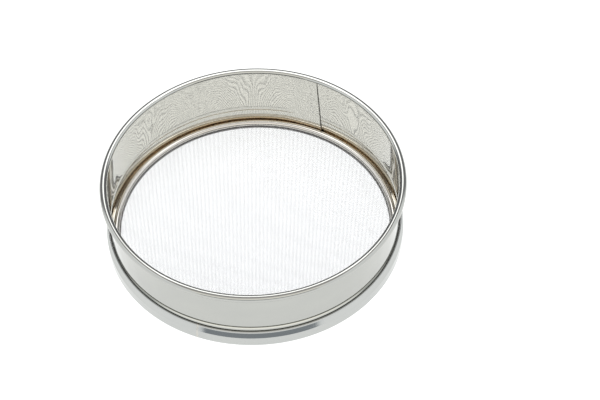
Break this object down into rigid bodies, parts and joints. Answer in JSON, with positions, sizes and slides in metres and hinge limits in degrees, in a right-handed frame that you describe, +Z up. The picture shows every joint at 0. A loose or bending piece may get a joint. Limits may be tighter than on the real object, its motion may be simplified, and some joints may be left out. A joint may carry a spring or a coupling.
{
  "type": "soil sieve",
  "caption": "Round stainless steel soil sieve: rolled wall with a wired rim, base hoop with an inner ledge, and a drop-in woven mesh screen that lifts out.",
  "frame": {"origin": "middle of the circle that the sieve rests on, on the resting plane", "axes": "+Z up along the sieve's axis, from the foot to the rim; the wall's lap seam is at about 60 degrees from +X towards +Y"},
  "size_m": [0.3, 0.3, 0.075],
  "materials": {
    "polished_wall": "polished",
    "polished_hoop": "polished",
    "polished_ring": "polished",
    "steel_wire": "satin",
    "woven_mesh": "satin",
    "weld": "satin"
  },
  "bodies": {
    "frame": {"body_wall": "polished_wall", "rim_wire": "steel_wire", "wall_seam_welds": "weld", "base_hoop": "polished_hoop", "hoop_joint_weld": "weld", "hoop_spot_welds": "weld"},
    "screen": {"screen_ring": "polished_ring", "ring_joint_weld": "weld", "clamp_ring": "polished_ring", "core_wire": "steel_wire", "mesh_cloth": "woven_mesh"}
  },
  "joints": [
    {"name": "screen_lift", "type": "slide", "parent": "frame", "child": "screen", "axis": [0, 0, 1], "range_m": [0, 0.09]}
  ]
}
